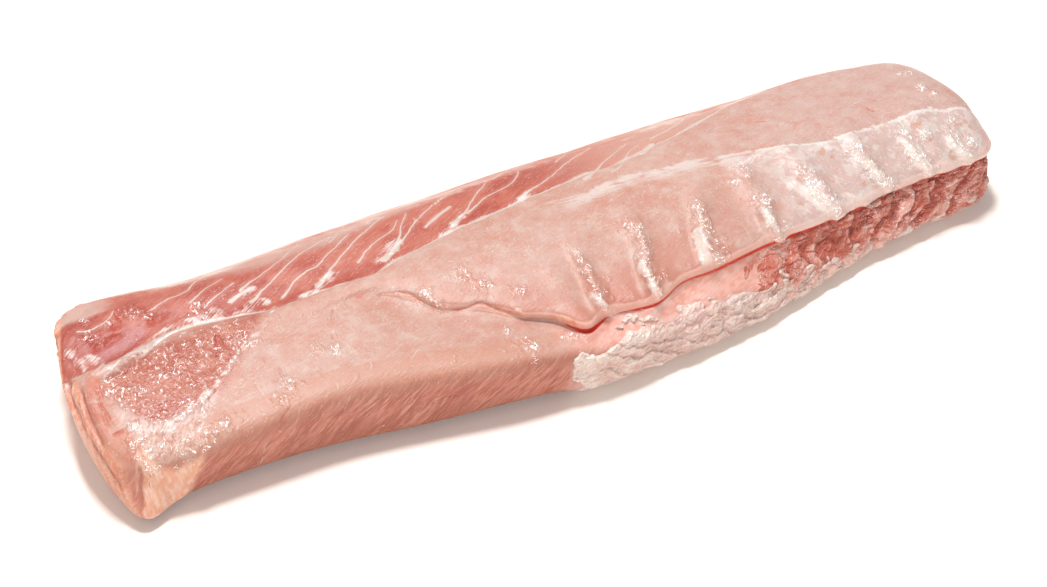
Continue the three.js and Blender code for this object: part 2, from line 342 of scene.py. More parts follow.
cracks = [  # thin creases, cut in and painted reddish as painted shade
    [(279, 366), (280, 371), (282, 378)], [(333, 308), (334, 322)], [(332, 331), (333, 338)],
    [(336, 353), (336, 357)],
    [(390, 292), (407, 294), (424, 303), (444, 311), (464, 309), (480, 304), (498, 310), (518, 316)],
    [(867, 106), (872, 110), (878, 109)], [(743, 123), (757, 120), (771, 120)],
    [(217, 333), (216, 341), (218, 348), (215, 358)], [(155, 432), (166, 438), (173, 445)],
    [(82, 385), (84, 402), (91, 420), (100, 437)], [(100, 380), (97, 395), (103, 415), (112, 432)],
    [(430, 404), (445, 398), (460, 395)], [(290, 404), (282, 420), (272, 436)],
    [(243, 432), (236, 448), (228, 462)], [(112, 436), (122, 430)],
    [(139, 435), (140, 460), (141, 480), (143, 512)],
]
ribCrests = [  # from the lip to the eye
    [(602, 306), (595, 288), (586, 268), (578, 255), (566, 240), (558, 232)],
    [(656, 293), (650, 280), (645, 258), (642, 238), (634, 226), (622, 214)],
    [(715, 258), (706, 240), (701, 220), (700, 204), (698, 185)],
    [(776, 238), (769, 218), (765, 200), (757, 188), (742, 178)],
    [(838, 212), (829, 200), (816, 183), (806, 170), (790, 158)],
    [(890, 184), (878, 174), (866, 163), (856, 148), (846, 138)],
    [(929, 168), (918, 158), (910, 146), (902, 134), (897, 126)],
    [(968, 157), (958, 146), (950, 132), (944, 116)],
]
glintSpots = [  # where wet light gathers: pixel and radius in mm
    (85, 319, 4), (131, 312, 8), (147, 313, 5), (195, 311, 7), (205, 317, 5), (92, 339, 7), (109, 323, 4),
    (112, 390, 8), (122, 398, 7), (136, 397, 6), (167, 370, 7), (176, 366, 4), (159, 391, 5),
    (160, 418, 7), (136, 442, 7), (147, 461, 8), (157, 470, 6), (188, 456, 8), (188, 442, 6),
    (212, 433, 8), (226, 425, 7), (205, 447, 6), (226, 339, 6), (243, 334, 5), (253, 344, 5),
    (222, 353, 5), (288, 384, 7), (282, 397, 6), (256, 343, 4), (335, 350, 6), (422, 296, 7),
    (415, 219, 4), (321, 350, 4), (440, 305, 4), (483, 284, 7), (461, 276, 8), (520, 292, 6),
    (529, 345, 7), (536, 360, 5), (506, 330, 4), (570, 335, 6), (601, 290, 7), (633, 226, 8),
    (642, 240, 7), (645, 254, 6), (658, 279, 7), (665, 272, 4), (699, 208, 7), (702, 220, 7),
    (709, 230, 7), (719, 243, 7), (721, 256, 8), (764, 198, 8), (764, 209, 7), (743, 170, 7),
    (733, 182, 5), (788, 225, 4), (805, 171, 7), (814, 182, 8), (829, 199, 9), (838, 208, 7),
    (771, 251, 7), (786, 248, 5), (855, 148, 7), (866, 163, 8), (871, 173, 6), (881, 182, 5),
    (900, 133, 6), (912, 151, 8), (918, 160, 7), (927, 168, 5), (926, 136, 6), (952, 121, 6),
    (955, 145, 7), (967, 139, 6), (973, 142, 5), (906, 73, 6), (924, 87, 6), (933, 93, 5), (838, 220, 7),
    (872, 208, 6), (889, 229, 6), (950, 170, 6), (583, 265, 4),
]
areas = {  # outlines of patches
    "ham": [(96, 376), (118, 366), (142, 350), (165, 336), (200, 325), (245, 313), (262, 313), (248, 350),
        (228, 384), (205, 408), (182, 424), (150, 424), (120, 410), (98, 396)],
    "sinew": [(116, 412), (150, 424), (182, 424), (205, 402), (216, 392), (208, 425), (202, 448),
        (192, 466), (176, 474), (156, 470), (138, 450)],
    "nose": [(137, 436), (158, 466), (176, 470), (206, 452), (200, 470), (190, 492), (178, 512),
        (158, 526), (144, 524), (138, 490)],
    "brow": [(84, 376), (99, 370), (103, 382), (104, 398), (113, 414), (130, 431), (142, 448), (141, 474),
        (124, 466), (106, 448), (92, 424), (85, 400)],
    "purple": [(92, 357), (104, 348), (122, 336), (142, 326), (146, 334), (132, 346), (112, 358),
        (100, 366)],
}
creams = [  # what is left of the rib ends, cream-coloured
    (2.2, 1.6, [(516, 311), (521, 313), (526, 316)]),
    (3.4, 5.4, [(592, 295), (601, 303), (610, 312)]),
    (4.2, 4.8, [(640, 264), (648, 278), (657, 295)]),
    (6, 8, [(697, 232), (700, 245), (706, 260)]),
    (4, 6.4, [(763, 212), (771, 224), (779, 240)]),
    (7, 8, [(794, 186), (815, 199), (842, 219)]),
    (4, 5, [(846, 196), (868, 202), (893, 192)]),
    (5, 6, [(866, 165), (878, 178), (888, 189)]),
    (5, 7, [(902, 142), (914, 158), (928, 174)]),
    (5, 7, [(946, 140), (957, 152), (970, 160)]),
]
gristles = [  # white gristle
    (1, 2, [(276, 305), (266, 322), (247, 342), (229, 367), (212, 388)]),
    (2, 7, [(220, 378), (208, 392), (192, 405), (172, 424)]),
    (4, 5.5, [(234, 313), (248, 309), (264, 302)]),
    (2.6, 2, [(240, 296), (248, 291), (256, 286)]),
    (2.4, 6, [(300, 296), (316, 290), (331, 275)]),
    (3, 6, [(378, 262), (388, 254), (397, 242)]),
    (3, 5, [(441, 235), (450, 228), (461, 217)]),
    (2.5, 4, [(512, 205), (520, 200), (528, 192)]),
    (3.5, 7, [(165, 330), (182, 324), (200, 319), (214, 313)]),
    (3, 3, [(96, 372), (112, 367), (128, 359), (146, 347), (165, 331)]),
    (4, 3.5, [(84, 364), (92, 358), (100, 362), (98, 371)]),
    (3, 4, [(68, 352), (78, 360), (85, 370)]),
    (2, 3.4, [(812, 150), (822, 144), (829, 148)]),
    (3.4, 2, [(834, 142), (846, 138), (858, 143)]),
    (2.6, 1.4, [(856, 139), (866, 131), (874, 126)]),
    (3.6, 1.6, [(914, 118), (923, 111), (930, 107)]),
    (1.6, 2.4, [(728, 168), (748, 160), (766, 152), (786, 150)]),
]
slits = [  # gaps between muscles, cut in and painted deeper red as painted shade
    [(217, 333), (216, 341), (218, 348), (215, 358)],
    [(99, 379), (118, 372), (136, 360), (150, 347), (160, 339)], [(92, 352), (108, 343), (124, 333)],
    [(110, 332), (117, 322), (120, 310)], [(150, 327), (158, 318), (168, 312)],
]
folds = [  # creases of the cut end, cut in and painted darker as painted shade
    [(80, 380), (83, 402), (91, 424), (100, 440), (108, 458)], [(140, 462), (141, 484), (143, 514)],
    [(66, 372), (71, 396), (80, 420), (92, 444)], [(86, 432), (98, 452), (112, 474), (126, 494)],
]
pixelsPerMm = 1.9
# What points note that are far from a region, from every line and from every rib.
outside, noLine, noRib = -20.0, 9.0, 30.0
strandFade = (4, 6)  # distances from a strand over which its mark fades
strandTaper = 6  # length over which a strand gets thinner from its root


loin = copyOfSolid()
easeSlope(loin)
bpy.context.view_layer.update()


def drifted(p, size, drift, seeds):  # points moved about a little, so that what is drawn there isn't straight
    return p + drift * np.stack([cloud(p, size, seed) for seed in seeds], 1)


def strandMarks(p, wobble, n):  # side of and width at the nearest strand, in three sets
    found = {}
    for part in range(3):  # neighbours go into different sets, so that their sides don't mix
        best = np.full(len(p), far)
        along, wide = np.full(len(p), noLine), np.zeros(len(p))
        for root, tip, line in strandLines[part::3]:
            gap, side, way = near(wobble, n, line)
            length = np.linalg.norm(np.diff(line, axis=0), axis=1).sum()
            width = tip + (root - tip) * np.exp(-way * length / strandTaper)
            ended = ((way <= 0) | (way >= 1)) & (gap > 0.5)
            use = (gap < best) & (gap < strandFade[1])
            best = np.where(use, gap, best)
            along = np.where(use, gap * side, along)
            wide = np.where(use, width * (1 - smooth(*strandFade, gap)) * ~ended, wide)
        found["strandSide%d" % part], found["strandWidth%d" % part] = along, wide
    return found


def lineMarks(p, wobble, n):  # side of and nearness to the nearest line of each kind
    found = {}
    for name, lines, reach in (("thread", threadLines, 3.0), ("crack", crackLines, 3.0),
                               ("slit", slitLines, 4.0), ("fold", foldLines, 5.0)):
        best = np.full(len(p), far)
        found[name + "Side"], found[name + "Near"] = np.full(len(p), noLine), np.zeros(len(p))
        for line in lines:
            gap, side, way = near(wobble, n, line)
            use = (gap < best) & (gap < reach)
            best = np.where(use, gap, best)
            fade = (1 - smooth(reach * 0.6, reach, gap)) * smooth(0, 0.2, way) * smooth(0, 0.2, 1 - way)
            found[name + "Side"] = np.where(use, gap * side, found[name + "Side"])
            found[name + "Near"] = np.where(use, fade, found[name + "Near"])
    return found


def featuresOf(p, n):  # marks of the skin: signed distances and strengths, for the form and the material
    wobble = drifted(p, 7, 0.9, (21, 22, 23))
    found = {**strandMarks(p, wobble, n), **lineMarks(p, wobble, n)}
    for name, bands in (("cream", creamLines), ("gristle", gristleLines)):
        found[name] = np.full(len(p), -noLine)  # distance into it, as for an area
        for root, tip, line in bands:
            gap, _, way = near(wobble, n, line)
            width = root + (tip - root) * way
            found[name] = np.maximum(found[name], np.maximum(width / 2 - gap, -noLine))
    found["glint"] = np.zeros(len(p))
    for centre, radius in glintPlaces:
        away = np.linalg.norm(p - centre, axis=1)
        found["glint"] = np.maximum(found["glint"], hill(away, radius * 0.8))
    found["rib"], found["ribSide"] = np.zeros(len(p)), np.full(len(p), noRib)
    found["ribWay"] = np.ones(len(p))
    for line in ribLines:
        gap, side, way = near(p, n, line)
        strength = 1 - smooth(0.55, 1, way)
        width = 2.8 + 2.4 * smooth(60, 150, p[:, 0])
        found["rib"] = np.maximum(found["rib"], hill(gap, width) * strength)
        use = gap < np.abs(found["ribSide"])
        found["ribSide"] = np.where(use, gap * side, found["ribSide"])
        found["ribWay"] = np.where(use, way, found["ribWay"])
    px, py, faces = pixelsOf(p, n)
    for name, corners in areas.items():
        found[name] = np.where(faces, insideOf(px, py, corners) / pixelsPerMm, outside)
    return found


def zonesOf(p, n):  # which part of the loin each point belongs to
    x, y, z = p.T
    zone = featuresOf(p, n)
    lipY, lipZ = through(course["lip"], x), through(course["lip"], x, 2)
    depth, shoulder = through(course["lipDepth"], x), through(course["shoulder"], x)
    zone["seamSide"] = y - through(course["seam"], x)
    zone["flapSide"] = np.where(x > -112, y - lipY, outside)
    tucked = (z < lipZ - 0.6 * depth - 0.4) & (y < lipY + depth + 4) & (x > -80)  # under the overhang
    underneath = np.minimum(zone["flapSide"], z - lipZ - 0.5)
    zone["flapSide"] = np.where(tucked, underneath, zone["flapSide"])
    fromCleft = np.hypot(y - lipY - 0.8 * depth, z - lipZ + depth)
    # the crease under the lip; the material paints it dark red as painted shade
    zone["cleft"] = hill(fromCleft, 2.4) * smooth(0.2, 1.2, depth)
    zone["filled"] = (hill(fromCleft, 5.5) * smooth(1, 4, depth) * smooth(-30, 10, x)
                      * (1 - 0.6 * smooth(150, 230, x)))
    zone["wallDrop"] = np.where(y < shoulder + 14, through(course["shoulder"], x, 2) - z, outside)
    zone["fatSide"] = np.where(y < shoulder + 22, through(course["fatTop"], x) - z, outside)
    zone["fatSide"] -= 30 * smooth(14, 24, -x)
    zone["membraneSide"] = np.where(zone["flapSide"] > -1, through(course["membrane"], x) - y, outside)
    onFlap = smooth(-1, 1, zone["flapSide"])
    zone["rib"] = zone["rib"] * onFlap
    zone["ribSide"] = np.where(onFlap > 0.5, zone["ribSide"], noRib)
    # the lip's faces that turn away from the top, which the material paints paler as painted light against
    # their shade
    zone["litLipFace"] = smooth(0.85, 0.5, n[:, 2])
    zone["litLipFace"] *= smooth(-5, -2, zone["flapSide"]) * smooth(9, 5, zone["flapSide"])
    zone["litLipFace"] *= (n[:, 1] < 0.2) * (z > 24)
    zone["backSide"] = smooth(0.15, 0.6, n[:, 1]) * smooth(4, 12, zone["seamSide"] + 30 * smooth(120, 170, x))
    zone["leftEnd"] = smooth(0.3, 0.8, -n[:, 0]) * (x < 0)
    zone["rightEnd"] = smooth(0.35, 0.8, n[:, 0]) * (x > 0)
    return zone


strands.sort(key=lambda strand: strand[2][0])
strandLines, creamLines, gristleLines = (
    [(root, tip, trail(loin, path)) for root, tip, path in bands] for bands in (strands, creams, gristles))
threadLines, crackLines, slitLines, foldLines, ribLines = (
    [trail(loin, path) for path in paths] for paths in (threads, cracks, slits, folds, ribCrests))
glintPlaces = [(spot(loin, px, py), radius) for px, py, radius in glintSpots]
glintPlaces = [(place, radius) for place, radius in glintPlaces if place is not None]
grooveLine = trail(loin, [(100, 378), (118, 370), (136, 358), (150, 345), (166, 336)])
bandLine = trail(loin, [(98, 369), (114, 364), (132, 352), (148, 340), (166, 330), (186, 322)])
noseRim = trail(loin, [(204, 450), (198, 462), (187, 478), (180, 496), (168, 512)])

loinForm = {
    "waviness": 0.5, "ribHeight": 1.1, "ribGroove": 0.8,
    "cream": 1.0, "membrane": 0.5, "gristle": 0.45, "strand": 0.5,
    "cleftDepth": 0.6, "cleftFill": 4.2,
    "roughCut": 0.4, "wetLumps": 0.25, "fringe": 2.2, "backFolds": 1.3,
    "fatDepth": 0.6, "tearDepth": 0.6,
    "seam": 1.0, "crack": 0.9, "slit": 2.0, "foldRidge": 0.25, "fold": 0.6,
    "footLength": 0.012, "footWidth": 0.05,  # shares that the foot curls in by
    "footHeight": 10,
}


def turnedBy(degrees):  # turns points about the upright, so that a pattern runs along the fibres
    c, s = math.cos(math.radians(degrees)), math.sin(math.radians(degrees))
    return np.array(((c, s, 0), (-s, c, 0), (0, 0, 1)))


def reliefOf(p, n, zone):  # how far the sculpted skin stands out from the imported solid
    x, y, z = p.T
    form = loinForm
    top = smooth(0.1, 0.6, n[:, 2])
    lift = form["waviness"] * cloud(p, 24, 1, 3) * top
    lift += form["ribHeight"] * zone["rib"] * (1 + 0.45 * cloud(p, 4, 2))
    lift += form["cream"] * smooth(-1.5, 1.5, zone["cream"]) * (1 + 0.5 * cloud(p, 3, 6))
    lift -= form["ribGroove"] * (
        hill(np.abs(zone["ribSide"]) - 6.5, 3.5) * (1 - smooth(0.3, 0.8, zone["ribWay"])))
    lift += form["membrane"] * smooth(-1, 2, zone["membraneSide"]) * smooth(90, 150, x) * (1 + cloud(p, 5, 3))
    cut = np.maximum(smooth(-1, 3, zone["ham"]), smooth(-1, 3, zone["sinew"]))
    lift += form["roughCut"] * cut * cloud(p @ turnedBy(-30), (9, 3.2, 5), 9, 2)
    lift += form["wetLumps"] * zone["glint"] * top * (billow(p, (5, 3.4, 3.4), 9) - 0.4)
    lift += form["gristle"] * smooth(-1, 1.2, zone["gristle"]) * (1 + 0.8 * cloud(p, 4, 7))
    fringe = smooth(25, 31, zone["seamSide"]) * smooth(-206, -222, x) * smooth(0.9, 0.3, n[:, 2])
    lift += form["fringe"] * fringe * (billow(p, (6, 4, 5), 14) - 0.3)
    inFat = smooth(-1, 2, zone["fatSide"] + 2 * cloud(p, 7, 4)) * smooth(1.5, 5, z)
    lift += form["fatDepth"] * inFat * (billow(p, (12, 8, 7), 5) - 0.5)
    torn = smooth(100, 170, x) * smooth(-2, -7, zone["flapSide"]) * (1 - inFat) * smooth(1.5, 6, z)
    lift += form["tearDepth"] * torn * (shingles(p, (0.75, 0, -0.65), 13, 8) - 0.5)
    lift -= form["seam"] * hill(zone["seamSide"], 1.3) * smooth(150, 90, x) * top
    for part in "012":
        wide = smooth(2.5, 5.5, zone["strandWidth" + part])
        lift += form["strand"] * wide * hill(zone["strandSide" + part], 2.5)
    lift += form["backFolds"] * zone["backSide"] * cloud(p, (46, 7, 5.5), 16, 3) * smooth(0, 8, z)
    lift -= form["crack"] * zone["crackNear"] * hill(zone["crackSide"], 0.9)
    lift -= form["slit"] * zone["slitNear"] * hill(zone["slitSide"], 1.5)
    ridges = form["foldRidge"] * hill(np.abs(zone["foldSide"]) - 3.4, 1.8)
    lift += zone["foldNear"] * (ridges - form["fold"] * hill(zone["foldSide"], 1.8))
    for line, height, width in ((grooveLine, -1.8, 1.7), (bandLine, 0.7, 2.2), (noseRim, 1.2, 3.0)):
        gap, _, way = near(p, n, line)
        lift += height * hill(gap, width) * smooth(0, 0.2, way + 0.1) * smooth(0, 0.3, 1.1 - way)
    return lift


def sculpt(loin):
    p, n = pointsOf(loin), normalsOf(loin)
    zone = zonesOf(p, n)
    p = p + n * reliefOf(p, n, zone)[:, None]
    p[:, 1] += loinForm["cleftDepth"] * zone["cleft"] - loinForm["cleftFill"] * zone["filled"]
    p[:, 2] += 0.4 * loinForm["cleftFill"] * zone["filled"]
    p[:, 2] = np.maximum(p[:, 2], 0)
    under = 1 - smooth(0, loinForm["footHeight"], p[:, 2])
    p[:, 0] -= loinForm["footLength"] * (p[:, 0] - 10) * under
    p[:, 1] -= loinForm["footWidth"] * (p[:, 1] + 10) * under
    putPoints(loin, p)
    note(loin, zone)


sculpt(loin)
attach(loin, "root")
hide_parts("pork_loin")
print("loin:", len(loin.data.polygons), "faces")


# Fat and torn lean along the front: finer layers, tucked into the skin at their edges.

def sheetOff(name, keep):  # part of the skin as a finer sheet of its own
    selectOnly(loin)
    bpy.ops.object.duplicate()
    sheet = bpy.context.view_layer.objects.active
    sheet.name = sheet.data.name = name
    for key in list(sheet.keys()):
        if key.startswith("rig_"):
            del sheet[key]
    select(sheet, ~keep)
    bpy.ops.object.mode_set(mode="EDIT")
    bpy.ops.mesh.delete(type="VERT")
    bpy.ops.mesh.select_all(action="SELECT")
    bpy.ops.mesh.subdivide(number_cuts=1, smoothness=1.0)
    bpy.ops.object.mode_set(mode="OBJECT")
    return sheet


def evenNormals(sheet, towards):  # directions to raise a sheet in, which small folds don't upset
    n = normalsOf(sheet) + 1.5 * np.array(towards)
    return n / np.linalg.norm(n, axis=1)[:, None]


def closeSheet(sheet, thickness):  # gives a sheet its inner side, below the skin
    selectOnly(sheet)
    wall = sheet.modifiers.new("Wall", "SOLIDIFY")
    wall.thickness, wall.offset = thickness * mm, -1
    bpy.ops.object.modifier_apply(modifier=wall.name)
    bpy.ops.object.shade_smooth()


fatForm = {
    "from": -17, "to": 264,
    "edge": 0.9, "sunk": 1.2,  # height of its face over the skin, and depth of its hidden rim
    "fold": 1.0, "lump": 1.4, "curl": 0.6,
    "thickness": 1.2,
}


def makeFat():
    x, y, z = pointsOf(loin).T
    side = zonesOf(pointsOf(loin), normalsOf(loin))["fatSide"]
    keep = (side > -9) & (x > fatForm["from"] - 9) & (x < fatForm["to"]) & (z > 0.2)
    fat = sheetOff("fat_trim", keep)
    p, n = pointsOf(fat), evenNormals(fat, (0.05, -0.85, 0.25))
    zone = zonesOf(p, n)
    x, y, z = p.T
    drift = drifted(p, 8, 1.8, (61, 62, 63))  # so that folds curl
    lump = billow(drift, (15, 9, 9), 35, 2)
    ragged = zone["fatSide"] + 6.0 * cloud(p, (9, 6, 6), 31, 3) + 4.0 * (lump - 0.5)
    start = x - fatForm["from"] - 3 + 10 * cloud(p, 8, 44, 3) + 0.4 * (z - 12)
    cover = smooth(-0.3, 0.9, ragged) * smooth(0, 2.5, start) * smooth(fatForm["to"], fatForm["to"] - 16, x)
    thin = (1 - 0.6 * smooth(110, 190, x)) * (0.45 + 0.55 * smooth(fatForm["from"], fatForm["from"] + 22, x))
    fold = shingles(drift, (0.28, 0, 0.96), 7.5, 33)
    curl = 1 - np.abs(cloud(drift, (7, 4, 3.4), 38, 2)) * 2.2
    height = (fatForm["edge"] + fatForm["fold"] * (fold - 0.5) + fatForm["lump"] * (lump - 0.5)
              + fatForm["curl"] * (np.clip(curl, 0, 1) - 0.6))
    height = np.maximum(height * thin, -0.8) * smooth(0, 2.5, z) + 0.1
    p = p + n * (height * cover - fatForm["sunk"] * (1 - cover))[:, None]
    p[:, 2] = np.maximum(p[:, 2], 0.05)
    putPoints(fat, p)
    zone["raised"] = height / thin
    note(fat, zone)
    closeSheet(fat, fatForm["thickness"])
    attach(fat, "root")
    return fat


tornForm = {
    "from": 62, "to": 272,
    "edge": 0.4, "sunk": 1.0,
    "tear": 2.0, "grain": 1.0,
    "thickness": 1.0,
}


def makeTorn():
    x, y, z = pointsOf(loin).T
    side = zonesOf(pointsOf(loin), normalsOf(loin))["flapSide"]
    keep = (side < -0.5) & (y < through(course["lip"], x) + 4) & (z > 3) & (z < 40)
    torn = sheetOff("torn_lean", keep & (x > tornForm["from"]) & (x < tornForm["to"]))
    p, n = pointsOf(torn), evenNormals(torn, (0.1, -0.9, 0.1))
    zone = zonesOf(p, n)
    x, y, z = p.T
    drift = drifted(p, 7, 2.0, (71, 72, 73))
    start, end = tornForm["from"], tornForm["to"]
    cover = (smooth(-4, -7, zone["flapSide"]) * smooth(4, 7, z) * smooth(38, 34, z)
             * smooth(start + 4, start + 60, x) * smooth(end - 3, end - 6, x))
    tear = shingles(drift, (0.72, 0, -0.69), 13, 52)
    grain = billow(drift, (5, 3.2, 2.6), 55)
    height = tornForm["edge"] + tornForm["tear"] * (tear - 0.5) + tornForm["grain"] * (grain - 0.5)
    height = np.maximum(height, -0.7)
    p = p + n * (height * cover - tornForm["sunk"] * (1 - cover))[:, None]
    putPoints(torn, p)
    zone["raised"] = height * cover
    note(torn, zone)
    closeSheet(torn, tornForm["thickness"])
    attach(torn, "root")
    return torn


fatTrim = makeFat()
print("fat trim:", len(fatTrim.data.polygons), "faces")
tornLean = makeTorn()
print("torn lean:", len(tornLean.data.polygons), "faces")


# Materials: small classes for the sums, then the colours, then a function for each region and each finish.

class Wire:  # a socket that takes part in sums
    def __init__(self, shader, socket):
        self.shader, self.socket = shader, socket

    def maths(self, operation, *others, swap=False):
        values = [self, *others]
        if swap:
            values = values[::-1]
        return self.shader.node("ShaderNodeMath", {"operation": operation}, dict(enumerate(values)))

    def __add__(self, other): return self.maths("ADD", other)
    def __radd__(self, other): return self.maths("ADD", other)
    def __sub__(self, other): return self.maths("SUBTRACT", other)
    def __rsub__(self, other): return self.maths("SUBTRACT", other, swap=True)
    def __mul__(self, other): return self.maths("MULTIPLY", other)
    def __rmul__(self, other): return self.maths("MULTIPLY", other)
    def __truediv__(self, other): return self.maths("DIVIDE", other)
    def __abs__(self): return self.maths("ABSOLUTE")

    def most(self, other): return self.maths("MAXIMUM", other)
    def least(self, other): return self.maths("MINIMUM", other)


class Shader:
    def __init__(self, name):
        self.material = bpy.data.materials.new(name)
        self.material.use_nodes = True
        self.tree = self.material.node_tree
        self.tree.nodes.clear()
        here = self.node("ShaderNodeTexCoord", out="Object")
        self.place = self.vector("SCALE", self.vector("SUBTRACT", here, tuple(zero)), Scale=1 / mm)

    def node(self, kind, settings=None, sockets=None, out=0):
        made = self.tree.nodes.new(kind)
        for key, value in (settings or {}).items():
            setattr(made, key, value)
        for key, value in (sockets or {}).items():
            if isinstance(value, Wire):
                self.tree.links.new(value.socket, made.inputs[key])
            else:
                made.inputs[key].default_value = value
        return Wire(self, made.outputs[out]) if made.outputs else None

    def vector(self, operation, a, b=None, **more):
        sockets = {0: a, **({} if b is None else {1: b}), **more}
        return self.node("ShaderNodeVectorMath", {"operation": operation}, sockets)

    def axis(self, number):  # the place's x, y or z in plan millimetres
        return self.node("ShaderNodeSeparateXYZ", {}, {0: self.place}, number)

    def said(self, name):  # a number noted on the mesh
        return self.node("ShaderNodeAttribute", {"attribute_name": name}, out="Fac")

    def where(self, seed, stretch, turn):
        place = self.place
        if turn is not None:
            place = self.node("ShaderNodeMapping", {"vector_type": "POINT"},
                              {"Vector": place, "Rotation": tuple(math.radians(a) for a in turn)})
        if stretch is not None:
            place = self.vector("DIVIDE", place, stretch)
        return self.vector("ADD", place, (seed * 13.7, seed * 7.1, seed * 3.3))

    def rough(self, size, detail=2.0, seed=0.0, stretch=None, turn=None):  # noise from 0 to 1
        return self.node("ShaderNodeTexNoise", {},
                         {"Vector": self.where(seed, stretch, turn), "Scale": 1 / size, "Detail": detail})

    def cells(self, size, seed=0.0):  # distance from the nearest of many scattered points
        return self.node("ShaderNodeTexVoronoi", {"feature": "F1"},
                         {"Vector": self.where(seed, None, None), "Scale": 1 / size}, "Distance")

    def step(self, value, start, end):  # 0 at start, 1 at end, with soft ends
        return self.node("ShaderNodeMapRange", {"interpolation_type": "SMOOTHSTEP"},
                         {"Value": value, "From Min": start, "From Max": end})

    def blend(self, share, under, over):  # colours are sockets, or names from `tones`
        under, over = (tones[colour] if isinstance(colour, str) else colour for colour in (under, over))
        return self.node("ShaderNodeMix", {"data_type": "RGBA"}, {0: share, 6: under, 7: over}, 2)

    def coats(self, colour, *layers):  # colours laid one over another, each with its share
        for share, over in layers:
            colour = self.blend(share, colour, over)
        return colour

    def bump(self, height):
        return self.node("ShaderNodeBump", {}, {"Height": height, "Strength": 0.9, "Distance": 0.9 * mm})

    def finish(self, **sockets):
        named = {key.replace("_", " "): value for key, value in sockets.items()}
        surface = self.node("ShaderNodeBsdfPrincipled", {}, named)
        self.node("ShaderNodeOutputMaterial", {}, {"Surface": surface})
        return self.material


# Share of its shown brightness that a surface needs as its own colour, by how well it is lit.
light = {"top": 0.62, "fat": 0.91, "side": 0.93}
# Colours as they look on the loin, under the light that falls on them or their own share of it.
shownTones = {
    "top": {
        "eye": "eec0b0", "eyeDeep": "e9af9c", "eyePale": "f8e0d4", "eyeEnd": "f0ccc2", "blush": "e58d75",
        "spine": "e2806b", "spineDeep": "cc5c49", "spinePale": "f3beac", "rim": "f3cbbc", "strand": "fbe6da",
        "ham": "e1856c", "hamDeep": "cd6650", "purple": "dd9496", "blood": "b93a2c", "wallEdge": "eaa88e",
        "orange": "efae8c",
    },
    "side": {
        "nose": "eeb093", "nosePale": "f6d0bb", "endFace": "e08f70", "endPale": "f2bfa8",
        # foot: a dark brown band painted along the bottom edge, as painted shade where the loin meets the
        # floor
        "wall": "cc8470", "wallDeep": "b06351", "wallPale": "e2aa98", "wallFoot": "a05c44", "foot": "7d4430",
        # the lip's face tones are paler ones, painted on its side-facing edge as painted light
        "under": "e8a392", "underPale": "f0bcae", "film": "f2cfc4", "litLipFace": "efbcac", "litLipPale": "f0d2c8",
        "torn": "c6634f", "tornDeep": "8c2f23", "tornPale": "eebdaf",
    },
    "fat": {
        "fat": "ecc8bc", "fatDeep": "c48a80", "fatPale": "fdebe0", "fatPink": "e2b6ae",
    },
    0.65: {"lilac": "f2d2ca"},
    0.66: {"membrane": "fbe9e0"},
    0.7: {"coverDeep": "e0988a"},
    0.72: {"cover": "f0c6b6", "coverPale": "f9e2d6", "gristle": "fdf3ec"},
    0.76: {"brow": "d9836b"},
    0.78: {"cream": "fbe7d9"},
    # crack, slit and cleft: reds painted into creases, gaps and the crease under the lip, as painted shade
    0.8: {"crack": "d4604c"},
    0.85: {"slit": "b8402f"},
    0.95: {"cleft": "d23a26"},
}


def paint(code, share):  # a shown colour, as the shader needs it
    parts = [int(code[i:i + 2], 16) / 255 for i in (0, 2, 4)]
    straight = [c / 12.92 if c <= 0.04045 else ((c + 0.055) / 1.055) ** 2.4 for c in parts]
    return tuple(share * c for c in straight) + (1.0,)


tones = {name: paint(code, light.get(lit, lit))
         for lit, codes in shownTones.items() for name, code in codes.items()}
# pure white for painted highlights
tones["glint"] = (1.0, 0.97, 0.95, 1.0)


class Flesh(Shader):  # the skin's shader, with the noises and shares that several regions use
    def __init__(self, name):
        super().__init__(name)
        self.large, self.middle, self.small, self.fine = (
            self.rough(*noise) for noise in ((60, 2), (16, 3, 1), (5, 3, 2), (1.3, 2, 3)))
        self.fibre = self.rough(0.9, 3, 4, stretch=(5, 1, 2), turn=(0, 0, -18))
        self.slanting = self.rough(0.9, 3, 5, stretch=(7, 1, 2), turn=(0, 0, -33))
        self.sliced = self.rough(0.8, 4, 16, stretch=(9, 3, 1), turn=(0, 46, 0))
        self.ragged = (self.small - 0.5) * 3 + (self.fine - 0.5) * 1.5
        self.wide = (self.middle - 0.5) * 2
        self.relief = (self.fine - 0.5) * 0.5
        self.x, self.z = self.axis(0), self.axis(2)
        self.flapSide, self.wallDrop = self.said("flapSide"), self.said("wallDrop")
        self.seamEdge = self.said("seamSide") + self.ragged * 0.25
        self.filmEdge = self.said("membraneSide") + self.ragged * 1.6

    def line(self, name, wobble, reach, shown):  # share of a fine line, by its noted side and fade
        across = abs(self.said(name + "Side") + self.relief * wobble)
        return self.step(across, *reach) * self.step(self.said(name + "Near"), 0.1, shown)


def eyeMuscle(s):  # pale, in soft clouds, with short fibres and a blush towards the flap's edge
    flecks = s.step(s.cells(3.0, 5), 0.22, 0.08) * s.step(s.middle, 0.38, 0.55)
    blush = (s.step(s.flapSide + s.wide * 9, 34, 0) * s.step(s.flapSide, -1, 1)
             * s.step(s.x, -100, -10) * s.step(s.x, 130, 30))
    ledge = s.step(s.flapSide, -0.5, -2) * s.step(s.x + s.wide * 15, -60, 20) * s.step(s.flapSide, -16, -3)
    mottle = s.rough(8, 4, 31)
    return s.coats(
        s.blend(s.step(s.large * 0.6 + s.middle * 0.4, 0.38, 0.62), "eye", "eyeDeep"),
        (s.step(s.x + s.wide * 30, 60, 190) * 0.6, "eyeEnd"),
        (s.step(s.fibre, 0.5, 0.72) * 0.4, "eyePale"),
        (s.step(s.fine, 0.52, 0.36) * 0.22, "blush"),
        (flecks * 0.6, "eyePale"),
        (blush * 0.65, "blush"),
        (ledge * 0.3, "blush"),
        (s.step(mottle, 0.5, 0.68) * 0.35, "eyePale"),
        (s.step(mottle, 0.48, 0.32) * 0.3, "blush"),
    )


